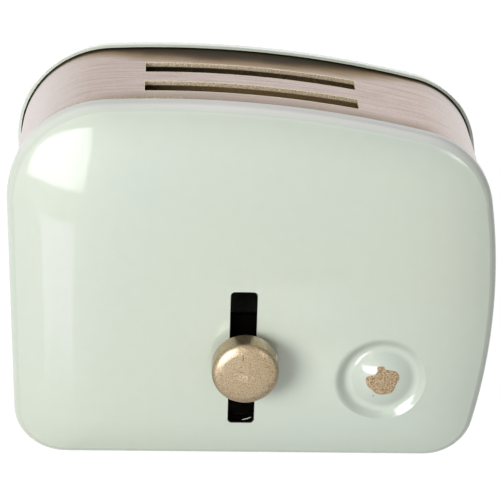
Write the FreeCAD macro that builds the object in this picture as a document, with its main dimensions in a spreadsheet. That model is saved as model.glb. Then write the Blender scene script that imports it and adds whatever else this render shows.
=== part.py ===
"""Toy toaster in pressed sheet metal, with a lever in the front that carries a bread tray up and down."""

import FreeCAD, Part

import math
import os
from types import SimpleNamespace

import Sketcher

# Driving sizes, in millimetres and degrees
SIZES = {
    # Outline of the two pressed shells, seen from the front
    "body_width": 50.0,
    "body_height": 39.97,
    "body_depth": 18.1,
    "left_foot_inset": 0.27,
    "left_lean": 0.54,
    "right_radius": 68.72,
    "right_bulge_height": 17.61,
    "top_radius": 109.61,
    "top_crest": -8.74,
    "bottom_left_corner": 5.28,
    "bottom_right_corner": 5.05,
    "top_left_corner": 10.51,
    "top_right_corner": 8.96,
    # Pressed sheet
    "shell_gauge": 0.3,
    "rim_depth": 1.45,
    "bend_radius": 1.0,
    "crown_height": 1.3,
    "crown_zone": 10.0,
    "nest_gap": 0.03,
    # Dial pressed into the front
    "dial_across": 13.68,
    "dial_up": 9.8,
    "dial_radius": 5.15,
    "dial_lip": 1.1,
    "dial_groove": 1.2,
    "dial_depth": 0.68,
    "dome_drop": 0.05,
    # Lever slot in the front
    "slot_across": -0.96,
    "slot_low": 4.52,
    "slot_high": 20.0,
    "slot_width": 2.74,
    "slot_corner": 0.45,
    # Band and its two bread slots
    "band_gauge": 0.4,
    "band_gap": 0.15,
    "foot_length": 5.5,
    "bread_slot_left": -11.32,
    "bread_slot_right": 10.29,
    "bread_slot_width": 2.48,
    "bread_slot_pitch": 5.17,
    "bread_slot_shift": -0.5,
    "liner_gauge": 0.3,
    "liner_setback": 0.25,
    "liner_clearance": 0.65,
    "liner_tab": 2.5,
    "tab_gap": 0.08,
    # Base and rivets
    "base_gauge": 0.4,
    "base_corner": 1.5,
    "base_play": 0.2,
    "rivet_shank": 0.5,
    "rivet_head": 1.0,
    "rivet_head_height": 0.3,
    "rivet_play": 0.03,
    "foot_rivet_spacing": 9.0,
    "foot_rivet_setback": 2.2,
    # Guide bracket behind the lever slot
    "bracket_gap": 0.85,
    "bracket_gauge": 0.5,
    "bracket_width": 10.5,
    "bracket_bend": 2.0,
    "bracket_foot": 4.6,
    "bracket_flange": 1.5,
    "bracket_rivet_spacing": 6.0,
    "guide_margin": 0.9,
    "guide_inset": 0.1,
    # Lever, with its axis near the middle of the slot
    "lever_shift": 0.24,
    "slot_play": 0.13,
    "knob_radius": 3.45,
    "knob_standoff": 1.0,
    "knob_thickness": 2.4,
    "knob_dome": 0.12,
    "knob_edge": 0.4,
    "knob_back_edge": 0.2,
    "collar_face": 1.0,
    "washer_face": 1.4,
    "washer_thickness": 0.2,
    "washer_gap": 0.05,
    "stem_play": 0.03,
    "spigot_step": 0.2,
    "spigot_length": 1.2,
    "thread_step": 0.3,
    "thread_end": 0.25,
    "stop_gap": 0.15,
    # Bread tray on its slide plate
    "lift_gauge": 0.5,
    "lift_gap": 0.1,
    "slide_play": 0.15,
    "slide_reach": 4.2,
    "neck_width": 7.0,
    "fold_radius": 0.9,
    "tray_clearance": 0.35,
    "tray_margin": 0.6,
    "tray_lip": 1.3,
    "tray_rib": 0.6,
    # Leaf spring and nut behind the slide plate
    "spring_gauge": 0.2,
    "spring_bow": 0.4,
    "spring_length": 4.7,
    "spring_width": 4.0,
    "stack_gap": 0.02,
    "nut_wall": 0.8,
    "nut_thickness": 1.0,
}

# Places of the crown's sections, as shares of the way from the bend to the flat middle
CROWN_STEPS = (0.22, 0.5, 0.75, 1.0)

# The crown rises with this power of the way that is left to the flat middle, steepest at the bend
CROWN_POWER = 3

# Room that a cutting shape takes beyond the metal it cuts
OVERCUT = 2.0


class Size:
    """A length or angle: its number as built, and the sheet expression that binds it."""

    def __init__(self, number, text):
        self.number = float(number)
        self.text = text

    def __add__(self, other):
        other = as_size(other)
        return Size(self.number + other.number, f"({self.text} + {other.text})")

    def __sub__(self, other):
        other = as_size(other)
        return Size(self.number - other.number, f"({self.text} - {other.text})")

    def __mul__(self, other):
        other = as_size(other)
        return Size(self.number * other.number, f"({self.text} * {other.text})")

    def __truediv__(self, other):
        other = as_size(other)
        return Size(self.number / other.number, f"({self.text} / {other.text})")

    def __rsub__(self, other):
        return as_size(other) - self

    def __neg__(self):
        return self * -1

    __radd__ = __add__
    __rmul__ = __mul__


def as_size(value):
    return value if isinstance(value, Size) else Size(value, f"({float(value):.9g})")


def root(value):
    return Size(math.sqrt(value.number), f"sqrt({value.text})")


def cosine(angle):
    return Size(math.cos(math.radians(angle.number)), f"cos({angle.text} * 1 deg)")


def sine(angle):
    return Size(math.sin(math.radians(angle.number)), f"sin({angle.text} * 1 deg)")


doc = FreeCAD.newDocument("toy_toaster")
sheet = doc.addObject("Spreadsheet::Sheet", "Sizes")
for row, (alias, number) in enumerate(SIZES.items(), start=1):
    sheet.set(f"A{row}", alias.replace("_", " "))
    sheet.set(f"B{row}", str(number))
    sheet.setAlias(f"B{row}", alias)
doc.recompute()

size = SimpleNamespace(**{alias: Size(number, f"Sizes.{alias}") for alias, number in SIZES.items()})

# Places that several pieces share
FACE = size.body_depth / 2 + size.crown_height
BAND_HALF = size.body_depth / 2 - size.bend_radius - size.nest_gap
BAND_INSET = size.shell_gauge + size.band_gap
BASE_BOTTOM = size.shell_gauge + size.nest_gap
BASE_TOP = BASE_BOTTOM + size.base_gauge
FOOT_BOTTOM = BASE_TOP + size.nest_gap
FOOT_TOP = FOOT_BOTTOM + size.band_gauge
BRACKET_FOOT_TOP = FOOT_BOTTOM + size.bracket_gauge
LEVER_ACROSS = size.slot_across + size.lever_shift
LEVER_UP = (size.slot_low + size.slot_high) / 2
STEM_RADIUS = size.slot_width / 2 - size.lever_shift - size.slot_play
THREAD_RADIUS = STEM_RADIUS - size.thread_step
THREAD_BORE = THREAD_RADIUS + size.stem_play
GUIDE_LOW = size.slot_low + size.guide_inset
GUIDE_HIGH = size.slot_high - size.guide_inset
TRAVEL = (GUIDE_HIGH - GUIDE_LOW) / 2 - STEM_RADIUS - size.stop_gap
TRAY_BOTTOM = BRACKET_FOOT_TOP + size.rivet_head_height + TRAVEL + size.tray_clearance
SLIDE_TOP = LEVER_UP + size.slide_reach
BRACKET_TOP = SLIDE_TOP + TRAVEL + size.bracket_gauge
LINER_BOTTOM = TRAY_BOTTOM + size.lift_gauge + size.tray_lip + TRAVEL + size.liner_clearance
BRACKET_FRONT = size.shell_gauge + size.bracket_gap
BRACKET_BACK = BRACKET_FRONT + size.bracket_gauge
SLIDE_FRONT = BRACKET_BACK + size.lift_gap
SLIDE_BACK = SLIDE_FRONT + size.lift_gauge
SPRING_BACK = SLIDE_BACK + size.stack_gap + size.spring_gauge + size.spring_bow
NUT_FRONT = SPRING_BACK + size.stack_gap
NUT_BACK = NUT_FRONT + size.nut_thickness
KNOB_FRONT = size.knob_standoff + size.knob_thickness
MIDDLE = KNOB_FRONT / 2
BASE_LEFT = size.left_foot_inset + size.bottom_left_corner + size.base_play - size.body_width / 2
RIGHT_REACH = size.right_radius - size.bottom_right_corner
RIGHT_DROP = size.right_bulge_height - size.bottom_right_corner
RIGHT_RUN = root(RIGHT_REACH * RIGHT_REACH - RIGHT_DROP * RIGHT_DROP)
BASE_RIGHT = size.body_width / 2 - size.right_radius + RIGHT_RUN - size.base_play


def bind(target, path, value):
    target.setExpression(path, as_size(value).text)


def new_body(name):
    body = doc.addObject("PartDesign::Body", name)
    body.Label = name
    return body


def new_sketch(body, name, plane, base=(0, 0, 0)):
    """Sketch on one of the body's own planes, moved by base in the plane's own directions."""
    sketch = body.newObject("Sketcher::SketchObject", name)
    support = next(f for f in body.Origin.OriginFeatures if f.Role == plane)
    sketch.AttachmentSupport = [(support, "")]
    sketch.MapMode = "FlatFace"
    for axis, value in zip("xyz", base):
        bind(sketch, f".AttachmentOffset.Base.{axis}", value)
    return sketch


def dimension(sketch, kind, where, value):
    value = as_size(value)
    number = math.radians(value.number) if kind == "Angle" else value.number
    index = sketch.addConstraint(Sketcher.Constraint(kind, *where, number))
    sketch.setExpression(f"Constraints[{index}]", value.text)


def place_point(sketch, edge, end, x, y):
    dimension(sketch, "DistanceX", (-1, 1, edge, end), x)
    dimension(sketch, "DistanceY", (-1, 1, edge, end), y)


def arc_edge(start, end, radius, turn):
    """Arc under a half circle from start to end, turn 1 counterclockwise and -1 clockwise."""
    half = (end - start) / 2
    lift = math.sqrt(max(radius**2 - half.Length**2, 0.0))
    side = FreeCAD.Vector(-half.y, half.x, 0).normalize()
    centre = start + half + side * lift * turn
    first, last = (start, end) if turn > 0 else (end, start)
    angles = [math.atan2(p.y - centre.y, p.x - centre.x) for p in (first, last)]
    circle = Part.Circle(centre, FreeCAD.Vector(0, 0, 1), radius)
    return Part.ArcOfCircle(circle, angles[0], angles[1])


def closed_run(sketch, nodes):
    """Closed run of edges through nodes (x, y), or (x, y, radius, turn) where an arc starts."""
    first = sketch.GeometryCount
    count = len(nodes)
    points = [FreeCAD.Vector(as_size(n[0]).number, as_size(n[1]).number, 0) for n in nodes]
    for i, node in enumerate(nodes):
        start, end = points[i], points[(i + 1) % count]
        if len(node) == 4:
            sketch.addGeometry(arc_edge(start, end, as_size(node[2]).number, node[3]), False)
        else:
            sketch.addGeometry(Part.LineSegment(start, end), False)
    starts = [2 if len(n) == 4 and n[3] < 0 else 1 for n in nodes]
    for i in range(count):
        following = (i + 1) % count
        ends = (first + i, 3 - starts[i], first + following, starts[following])
        sketch.addConstraint(Sketcher.Constraint("Coincident", *ends))
    for i, node in enumerate(nodes):
        place_point(sketch, first + i, starts[i], node[0], node[1])
        if len(node) == 4:
            dimension(sketch, "Radius", (first + i,), node[2])


def rounded(corners):
    """Nodes of a right-angled outline from its corners (x, y) or (x, y, radius)."""
    nodes = []
    for i, corner in enumerate(corners):
        x, y = as_size(corner[0]), as_size(corner[1])
        if len(corner) == 2:
            nodes.append((x, y))
            continue
        before, after = corners[i - 1], corners[(i + 1) % len(corners)]
        came = step(before, corner)
        goes = step(corner, after)
        turn = 1 if came[0] * goes[1] - came[1] * goes[0] > 0 else -1
        radius = as_size(corner[2])
        nodes.append((x - came[0] * radius, y - came[1] * radius, radius, turn))
        nodes.append((x + goes[0] * radius, y + goes[1] * radius))
    return [n for i, n in enumerate(nodes) if len(n) == 4 or not same_place(n, nodes[(i + 1) % len(nodes)])]


def step(start, end):
    """Direction, along one axis, from one corner to the next."""
    across = as_size(end[0]).number - as_size(start[0]).number
    up = as_size(end[1]).number - as_size(start[1]).number
    return (math.copysign(1, across), 0) if abs(across) > abs(up) else (0, math.copysign(1, up))


def same_place(one, other):
    return math.dist([as_size(v).number for v in one[:2]], [as_size(v).number for v in other[:2]]) < 1e-6


def block(left, right, low, high, radius=None):
    """Nodes of a rectangle, with rounded corners where a radius is given."""
    tail = () if radius is None else (radius,)
    return rounded([(left, low, *tail), (right, low, *tail), (right, high, *tail), (left, high, *tail)])


def pad(body, sketch, length, both_ways=False, reverse=False):
    feature = body.newObject("PartDesign::Pad", f"{sketch.Name}_pad")
    feature.Profile = sketch
    bind(feature, "Length", length)
    feature.Midplane = both_ways
    feature.Reversed = reverse
    return feature


def cut_through(body, sketch):
    feature = body.newObject("PartDesign::Pocket", f"{sketch.Name}_pocket")
    feature.Profile = sketch
    feature.Type = "ThroughAll"
    feature.Midplane = True
    return feature


def cut_length(body, sketch, length, reverse=False):
    feature = body.newObject("PartDesign::Pocket", f"{sketch.Name}_pocket")
    feature.Profile = sketch
    bind(feature, "Length", length)
    feature.Reversed = reverse
    return feature


def turned(name, plane, base, nodes):
    """Body turned about the upright axis of its sketch."""
    body = new_body(name)
    sketch = new_sketch(body, f"{name}_profile", plane, base)
    closed_run(sketch, nodes)
    feature = body.newObject("PartDesign::Revolution", f"{name}_turn")
    feature.Profile = sketch
    feature.ReferenceAxis = (sketch, ["V_Axis"])
    feature.Angle = 360.0
    return body


def outline_start(inset, floor):
    """Arcs of the body's outline as centre, radius and angles, for the sketch to start from."""
    gone = inset.number
    lean = math.radians(size.left_lean.number)
    across = FreeCAD.Vector(math.cos(lean), math.sin(lean), 0)
    along = FreeCAD.Vector(-math.sin(lean), math.cos(lean), 0)
    left = (size.left_foot_inset.number - size.body_width.number / 2) * math.cos(lean) + gone
    top_up = size.body_height.number - size.top_radius.number
    top = FreeCAD.Vector(size.top_crest.number, top_up, 0)
    right_across = size.body_width.number / 2 - size.right_radius.number
    right = FreeCAD.Vector(right_across, size.right_bulge_height.number, 0)
    top_radius = size.top_radius.number - gone
    right_radius = size.right_radius.number - gone
    corner = {name: getattr(size, f"{name}_corner").number - gone
              for name in ("bottom_left", "bottom_right", "top_left", "top_right")}

    radius = corner["bottom_left"]
    height = floor.number + radius
    bottom_left = FreeCAD.Vector((left + radius - math.sin(lean) * height) / math.cos(lean), height, 0)

    radius = corner["bottom_right"]
    height = floor.number + radius
    reach = math.sqrt((right_radius - radius) ** 2 - (height - right.y) ** 2)
    bottom_right = FreeCAD.Vector(right.x + reach, height, 0)

    radius = corner["top_left"]
    foot = across * (left + radius)
    slide = (foot - top).dot(along)
    rise = math.sqrt(slide**2 - (foot - top).dot(foot - top) + (top_radius - radius) ** 2)
    top_left = foot + along * (rise - slide)

    radius = corner["top_right"]
    one, other = top_radius - radius, right_radius - radius
    apart = right - top
    share = (one**2 - other**2 + apart.dot(apart)) / (2 * apart.Length)
    aside = math.sqrt(one**2 - share**2)
    towards = FreeCAD.Vector(apart).normalize()
    top_right = top + towards * share + FreeCAD.Vector(towards.y, -towards.x, 0) * aside

    def bearing(start, end):
        return math.atan2(end.y - start.y, end.x - start.x)

    left_side = math.pi + lean
    return {
        "bottom_right": (bottom_right, corner["bottom_right"], -math.pi / 2, bearing(right, bottom_right)),
        "right": (right, right_radius, bearing(right, bottom_right), bearing(right, top_right)),
        "top_right": (top_right, corner["top_right"], bearing(right, top_right), bearing(top, top_right)),
        "top": (top, top_radius, bearing(top, top_right), bearing(top, top_left)),
        "top_left": (top_left, corner["top_left"], bearing(top, top_left), left_side),
        "bottom_left": (bottom_left, corner["bottom_left"], left_side, 1.5 * math.pi),
    }


def add_outline(sketch, inset, floor, scale):
    """The body's outline, inset and then scaled about its middle, with tangent corners."""
    inset, floor, scale = as_size(inset), as_size(floor), as_size(scale)
    middle = size.body_height / 2
    kept = middle * (1 - scale)

    def scaled(point):
        return FreeCAD.Vector(point.x * scale.number, point.y * scale.number + kept.number, 0)

    arcs = {}
    for name, (centre, radius, start, end) in outline_start(inset, floor).items():
        circle = Part.Circle(scaled(centre), FreeCAD.Vector(0, 0, 1), radius * scale.number)
        arcs[name] = Part.ArcOfCircle(circle, start, end)
    bottom = Part.LineSegment(arcs["bottom_left"].EndPoint, arcs["bottom_right"].StartPoint)
    left = Part.LineSegment(arcs["top_left"].EndPoint, arcs["bottom_left"].StartPoint)
    edges = {"bottom": bottom}
    edges.update({name: arcs[name] for name in ("bottom_right", "right", "top_right", "top", "top_left")})
    edges.update({"left": left, "bottom_left": arcs["bottom_left"]})

    number = {name: sketch.addGeometry(edge, False) for name, edge in edges.items()}
    order = list(number.values())
    for edge, following in zip(order, order[1:] + order[:1]):
        sketch.addConstraint(Sketcher.Constraint("Tangent", edge, 2, following, 1))
    sketch.addConstraint(Sketcher.Constraint("Horizontal", number["bottom"]))
    dimension(sketch, "DistanceY", (-1, 1, number["bottom"], 1), kept + floor * scale)
    dimension(sketch, "Angle", (-2, number["left"]), 180 + size.left_lean)
    reach = (size.body_width / 2 - size.left_foot_inset) * cosine(size.left_lean) - inset
    dimension(sketch, "Distance", (-1, 1, number["left"]), reach * scale - kept * sine(size.left_lean))
    for name, radius, x, y in (
        ("right", size.right_radius, size.body_width / 2 - size.right_radius, size.right_bulge_height),
        ("top", size.top_radius, size.top_crest, size.body_height - size.top_radius),
    ):
        dimension(sketch, "Radius", (number[name],), (radius - inset) * scale)
        place_point(sketch, number[name], 3, x * scale, y * scale + kept)
    for name in ("bottom_left", "bottom_right", "top_left", "top_right"):
        dimension(sketch, "Radius", (number[name],), (getattr(size, f"{name}_corner") - inset) * scale)


def dial_profile(inset):
    """Half section of the dial's pressing: a lip, a round groove and a low dome, all tangent."""
    reach = size.dial_lip + size.dial_groove
    fall = 1 - size.dial_depth / reach
    run = root(1 - fall * fall)
    lip = size.dial_lip - inset
    groove = size.dial_groove + inset
    groove_across = size.dial_radius - reach * run
    groove_up = size.dial_lip - reach * fall
    rise = size.dial_depth - size.dome_drop
    span = (groove_across * groove_across + rise * rise) / (2 * rise)
    dome = span - size.dial_groove
    dome_up = size.dome_drop + dome
    meet_across = groove_across - groove_across * groove / span
    meet_up = groove_up + (dome_up - groove_up) * groove / span
    return [
        (0, size.dome_drop + inset),
        (0, -OVERCUT),
        (size.dial_radius, -OVERCUT),
        (size.dial_radius, inset, lip, -1),
        (size.dial_radius - lip * run, size.dial_lip - lip * fall, groove, 1),
        (meet_across, meet_up, dome - inset, -1),
    ]


def pressed_form(name, front, inset, open_depth):
    """Solid bounded by one side of a pressed shell: straight rim, tight bend and crowned face."""
    body = new_body(name)
    side = 1 if front else -1
    plane = size.body_depth / 2 - inset
    rim_sketch = new_sketch(body, f"{name}_rim", "XZ_Plane", (0, 0, side * (plane - open_depth)))
    add_outline(rim_sketch, inset, inset, 1)
    rim = pad(body, rim_sketch, open_depth, reverse=not front)

    sections = []
    for share in (0.0, *CROWN_STEPS):
        rise = size.crown_height * (1 - (1 - share) ** CROWN_POWER)
        scale = 1 - size.crown_zone * share / (size.body_height / 2)
        label = f"{name}_crown_{len(sections)}"
        section = new_sketch(body, label, "XZ_Plane", (0, 0, side * (plane + rise)))
        add_outline(section, inset, inset, scale)
        sections.append(section)
    crown = body.newObject("PartDesign::AdditiveLoft", f"{name}_crown")
    crown.Profile = sections[0]
    crown.Sections = sections[1:]
    doc.recompute()

    bend_at = -side * plane.number
    edges = [f"Edge{i}" for i, edge in enumerate(crown.Shape.Edges, start=1)
             if max(abs(edge.BoundBox.YMin - bend_at), abs(edge.BoundBox.YMax - bend_at)) < 1e-3]
    bend = body.newObject("PartDesign::Fillet", f"{name}_bend")
    bend.Base = (crown, edges)
    bind(bend, "Radius", size.bend_radius - inset)
    if front:
        dial = new_sketch(body, f"{name}_dial", "XY_Plane", (size.dial_across, -1 * FACE, size.dial_up))
        closed_run(dial, dial_profile(inset))
        press = body.newObject("PartDesign::Groove", f"{name}_press")
        press.Profile = dial
        press.ReferenceAxis = (dial, ["V_Axis"])
        press.Angle = 360.0
    return body


def shell(name, front):
    """One pressed shell: the outer form less the inner one, one gauge apart."""
    outer = pressed_form(f"{name}_outer", front, as_size(0), size.rim_depth)
    inner = pressed_form(f"{name}_inner", front, size.shell_gauge, size.rim_depth + OVERCUT)
    if front:
        slot = new_sketch(outer, "lever_slot", "XZ_Plane")
        left = size.slot_across - size.slot_width / 2
        right = size.slot_across + size.slot_width / 2
        closed_run(slot, block(left, right, size.slot_low, size.slot_high, size.slot_corner))
        cut_through(outer, slot)
    pressed = doc.addObject("Part::Cut", name)
    pressed.Label = name
    pressed.Base = outer
    pressed.Tool = inner
    return pressed


def centre_band():
    """Folded band: left side, top and right side, with two feet turned in and two bread slots."""
    body = new_body("centre_band")
    strip = new_sketch(body, "band_strip", "XZ_Plane")
    add_outline(strip, BAND_INSET, FOOT_BOTTOM, 1)
    add_outline(strip, BAND_INSET + size.band_gauge, FOOT_TOP, 1)
    pad(body, strip, BAND_HALF * 2, both_ways=True)
    opening = new_sketch(body, "band_opening", "XZ_Plane")
    left = BASE_LEFT + size.foot_length
    right = BASE_RIGHT - size.foot_length
    closed_run(opening, block(left, right, FOOT_BOTTOM - OVERCUT, FOOT_TOP + OVERCUT))
    cut_through(body, opening)
    for place, y in bread_slot_places():
        slot = new_sketch(body, f"{place}_bread_slot", "XY_Plane", (0, 0, size.body_height / 2))
        half = size.bread_slot_width / 2
        closed_run(slot, block(size.bread_slot_left, size.bread_slot_right, y - half, y + half))
        cut_length(body, slot, size.body_height, reverse=True)
    for i, (x, y) in enumerate(foot_rivet_places()):
        hole(body, f"foot_hole_{i}", x, y)
    return body


def bread_slot_places():
    """Names and depths of the two bread slots' middles."""
    half = size.bread_slot_pitch / 2
    return (("front", size.bread_slot_shift - half), ("rear", size.bread_slot_shift + half))


def foot_rivet_places():
    half = size.foot_rivet_spacing / 2
    columns = (BASE_LEFT + size.foot_rivet_setback, BASE_RIGHT - size.foot_rivet_setback)
    return [(x, y) for x in columns for y in (-1 * half, half)]


def bracket_rivet_places():
    half = size.bracket_rivet_spacing / 2
    y = BRACKET_FRONT - FACE + size.bracket_foot - size.rivet_head - size.bracket_gauge / 2
    return [(size.slot_across - half, y), (size.slot_across + half, y)]


def hole(body, name, x, y):
    """Rivet hole through the bottom of a body."""
    sketch = new_sketch(body, name, "XY_Plane", (x, y, 0))
    add_circle(sketch, size.rivet_shank + size.rivet_play)
    cut_length(body, sketch, BRACKET_FOOT_TOP + size.rivet_head_height, reverse=True)


def base_plate():
    """Flat base, tucked over the shells' bottom rims and under the band's feet."""
    body = new_body("base_plate")
    sketch = new_sketch(body, "base_outline", "XY_Plane", (0, 0, BASE_BOTTOM))
    closed_run(sketch, block(BASE_LEFT, BASE_RIGHT, -1 * BAND_HALF, BAND_HALF, size.base_corner))
    pad(body, sketch, size.base_gauge)
    for i, (x, y) in enumerate(foot_rivet_places() + bracket_rivet_places()):
        hole(body, f"base_hole_{i}", x, y)
    return body


def rivets(name, places, top):
    """Rivets set from below, each with a low round head at both ends."""
    bodies = []
    for i, (x, y) in enumerate(places):
        head, shank, height = size.rivet_head, size.rivet_shank, size.rivet_head_height
        dome = (head * head + height * height) / (2 * height)
        upper, lower = top + size.nest_gap, BASE_BOTTOM - size.nest_gap
        nodes = [
            (0, lower - height, dome, 1),
            (head, lower),
            (shank, lower),
            (shank, upper),
            (head, upper, dome, 1),
            (0, upper + height),
        ]
        bodies.append(turned(f"{name}_{i}", "XZ_Plane", (x, 0, -1 * y), nodes))
    group = doc.addObject("Part::Compound", name)
    group.Label = name
    group.Links = bodies
    return group


def slot_liner(name, y):
    """Sleeve below a bread slot, its top tabs shaped to the band's curved underside."""
    body = new_body(name)
    inner_left = size.bread_slot_left - size.liner_setback
    inner_right = size.bread_slot_right + size.liner_setback
    left, right = inner_left - size.liner_gauge, inner_right + size.liner_gauge
    half = size.bread_slot_width / 2 + size.liner_setback
    depth = (half + size.liner_gauge) * 2
    radius = size.top_radius - BAND_INSET - size.band_gauge - size.tab_gap
    under = radius - size.liner_gauge
    centre_up = size.body_height - size.top_radius

    def roof(x, arc_radius):
        across = x - size.top_crest
        return centre_up + root(arc_radius * arc_radius - across * across)

    sleeve = new_sketch(body, f"{name}_sleeve", "XZ_Plane", (0, 0, -1 * y))
    closed_run(sleeve, [
        (left, LINER_BOTTOM),
        (right, LINER_BOTTOM),
        (right, roof(right, radius), radius, 1),
        (left, roof(left, radius)),
    ])
    pad(body, sleeve, depth, both_ways=True)
    tabs = new_sketch(body, f"{name}_tabs", "XZ_Plane", (0, 0, -1 * y))
    tab_left, tab_right = left - size.liner_tab, right + size.liner_tab
    closed_run(tabs, [
        (tab_left, roof(tab_left, under), under, -1),
        (tab_right, roof(tab_right, under)),
        (tab_right, roof(tab_right, radius), radius, 1),
        (tab_left, roof(tab_left, radius)),
    ])
    pad(body, tabs, depth, both_ways=True)
    bore = new_sketch(body, f"{name}_bore", "XY_Plane")
    closed_run(bore, block(inner_left, inner_right, y - half, y + half))
    cut_through(body, bore)
    return body


def guide_bracket():
    """Folded bracket on the base: a web with the guide slot, two side flanges and a foot."""
    body = new_body("guide_bracket")
    gauge = size.bracket_gauge
    front = BRACKET_FRONT - FACE
    profile = new_sketch(body, "bracket_profile", "YZ_Plane", (0, 0, size.slot_across))
    foot_end = front + size.bracket_foot
    closed_run(profile, rounded([
        (front, FOOT_BOTTOM, size.bracket_bend),
        (foot_end, FOOT_BOTTOM),
        (foot_end, BRACKET_FOOT_TOP),
        (front + gauge, BRACKET_FOOT_TOP, size.bracket_bend - gauge),
        (front + gauge, BRACKET_TOP),
        (front, BRACKET_TOP),
    ]))
    pad(body, profile, size.bracket_width, both_ways=True)
    half = size.bracket_width / 2
    for label, inner in (("left", -1 * half), ("right", half - gauge)):
        flange = new_sketch(body, f"{label}_flange", "YZ_Plane", (0, 0, size.slot_across + inner))
        low = BRACKET_FOOT_TOP + size.bracket_bend
        closed_run(flange, rounded([
            (front + gauge / 2, low),
            (front + gauge + size.bracket_flange, low, gauge),
            (front + gauge + size.bracket_flange, BRACKET_TOP, gauge),
            (front + gauge / 2, BRACKET_TOP),
        ]))
        pad(body, flange, gauge)
    guide = new_sketch(body, "guide_slot", "XZ_Plane")
    reach = (size.slot_width + size.guide_margin) / 2
    left = size.slot_across - reach
    right = size.slot_across + reach
    closed_run(guide, block(left, right, GUIDE_LOW, GUIDE_HIGH, reach))
    cut_through(body, guide)
    for i, (x, y) in enumerate(bracket_rivet_places()):
        hole(body, f"bracket_hole_{i}", x, y)
    return body


def bread_lift():
    """Slide plate behind the bracket's web, folded back into a neck and the bread tray."""
    body = new_body("bread_lift")
    gauge = size.lift_gauge
    front = SLIDE_FRONT - FACE
    tray_top = TRAY_BOTTOM + gauge
    tray_half = (size.bread_slot_pitch + size.bread_slot_width) / 2 + size.tray_margin
    tray_front = size.bread_slot_shift - tray_half
    tray_back = size.bread_slot_shift + tray_half
    left = size.bread_slot_left - size.tray_margin
    right = size.bread_slot_right + size.tray_margin

    profile = new_sketch(body, "lift_profile", "YZ_Plane", (0, 0, LEVER_ACROSS))
    closed_run(profile, rounded([
        (front, TRAY_BOTTOM, size.fold_radius),
        (tray_front + gauge, TRAY_BOTTOM),
        (tray_front + gauge, tray_top),
        (front + gauge, tray_top, size.fold_radius - gauge),
        (front + gauge, SLIDE_TOP),
        (front, SLIDE_TOP),
    ]))
    pad(body, profile, size.neck_width, both_ways=True)
    half = size.bracket_width / 2 - size.bracket_gauge - size.slide_play
    west = size.slot_across - half
    east = size.slot_across + half
    wings = new_sketch(body, "slide_wings", "XZ_Plane", (0, 0, -1 * front))
    closed_run(wings, block(west, east, TRAY_BOTTOM + size.fold_radius, SLIDE_TOP, gauge))
    pad(body, wings, gauge, reverse=True)
    tray = new_sketch(body, "tray_floor", "XY_Plane", (0, 0, TRAY_BOTTOM))
    closed_run(tray, block(left, right, tray_front, tray_back))
    pad(body, tray, gauge)
    middle = size.bread_slot_shift
    walls = (
        ("left_lip", left, left + gauge, tray_front, tray_back, size.tray_lip),
        ("right_lip", right - gauge, right, tray_front, tray_back, size.tray_lip),
        ("back_lip", left, right, tray_back - gauge, tray_back, size.tray_lip),
        ("tray_divider", left, right, middle - gauge / 2, middle + gauge / 2, size.tray_rib),
    )
    for name, start, end, near, far, height in walls:
        wall = new_sketch(body, name, "XY_Plane", (0, 0, TRAY_BOTTOM))
        closed_run(wall, block(start, end, near, far))
        pad(body, wall, gauge + height)
    bore = new_sketch(body, "stem_hole", "XZ_Plane", (LEVER_ACROSS, LEVER_UP, -1 * front))
    add_circle(bore, THREAD_BORE)
    cut_length(body, bore, gauge)
    return body


def add_circle(sketch, radius):
    """Circle about the sketch's own origin."""
    up = FreeCAD.Vector(0, 0, 1)
    index = sketch.addGeometry(Part.Circle(FreeCAD.Vector(0, 0, 0), up, radius.number), False)
    sketch.addConstraint(Sketcher.Constraint("Coincident", index, 3, -1, 1))
    dimension(sketch, "Radius", (index,), radius)


def lever_base():
    """Where the lever's axis meets the flat of the front face."""
    return (LEVER_ACROSS, -1 * FACE, LEVER_UP)


def lever_knob():
    """Round knob with a slightly domed face, and a collar that takes the stem's spigot."""
    collar_back = size.washer_gap + size.washer_thickness
    collar = STEM_RADIUS + size.collar_face
    bore = STEM_RADIUS - size.spigot_step + size.stem_play
    bore_end = collar_back + size.spigot_length + size.stem_play
    face_edge = size.knob_radius - size.knob_edge
    dome = (face_edge * face_edge + size.knob_dome * size.knob_dome) / (2 * size.knob_dome)
    shoulder = KNOB_FRONT - size.knob_dome
    return turned("lever_knob", "XY_Plane", lever_base(), [
        (0, -1 * bore_end),
        (bore, -1 * bore_end),
        (bore, -1 * collar_back),
        (collar, -1 * collar_back),
        (collar, -1 * size.knob_standoff),
        (size.knob_radius - size.knob_back_edge, -1 * size.knob_standoff, size.knob_back_edge, -1),
        (size.knob_radius, -1 * (size.knob_standoff + size.knob_back_edge)),
        (size.knob_radius, -1 * (shoulder - size.knob_edge), size.knob_edge, -1),
        (face_edge, -1 * shoulder, dome, -1),
        (0, -1 * KNOB_FRONT),
    ])


def lever_stem():
    """Stepped stem: a spigot in the knob, a shank through both slots and a threaded tail."""
    shoulder = size.washer_gap + size.washer_thickness
    spigot = STEM_RADIUS - size.spigot_step
    tail = NUT_BACK + size.thread_end
    return turned("lever_stem", "XY_Plane", lever_base(), [
        (0, -1 * (shoulder + size.spigot_length)),
        (spigot, -1 * (shoulder + size.spigot_length)),
        (spigot, -1 * shoulder),
        (STEM_RADIUS, -1 * shoulder),
        (STEM_RADIUS, SLIDE_FRONT - size.stack_gap),
        (THREAD_RADIUS, SLIDE_FRONT - size.stack_gap),
        (THREAD_RADIUS, tail),
        (0, tail),
    ])


def face_washer():
    """Slip washer between the collar and the front face."""
    bore = STEM_RADIUS + size.stem_play
    rim = STEM_RADIUS + size.washer_face
    outer = -1 * (size.washer_gap + size.washer_thickness - size.stack_gap)
    return turned("face_washer", "XY_Plane", lever_base(), block(bore, rim, outer, -1 * size.washer_gap))


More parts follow.
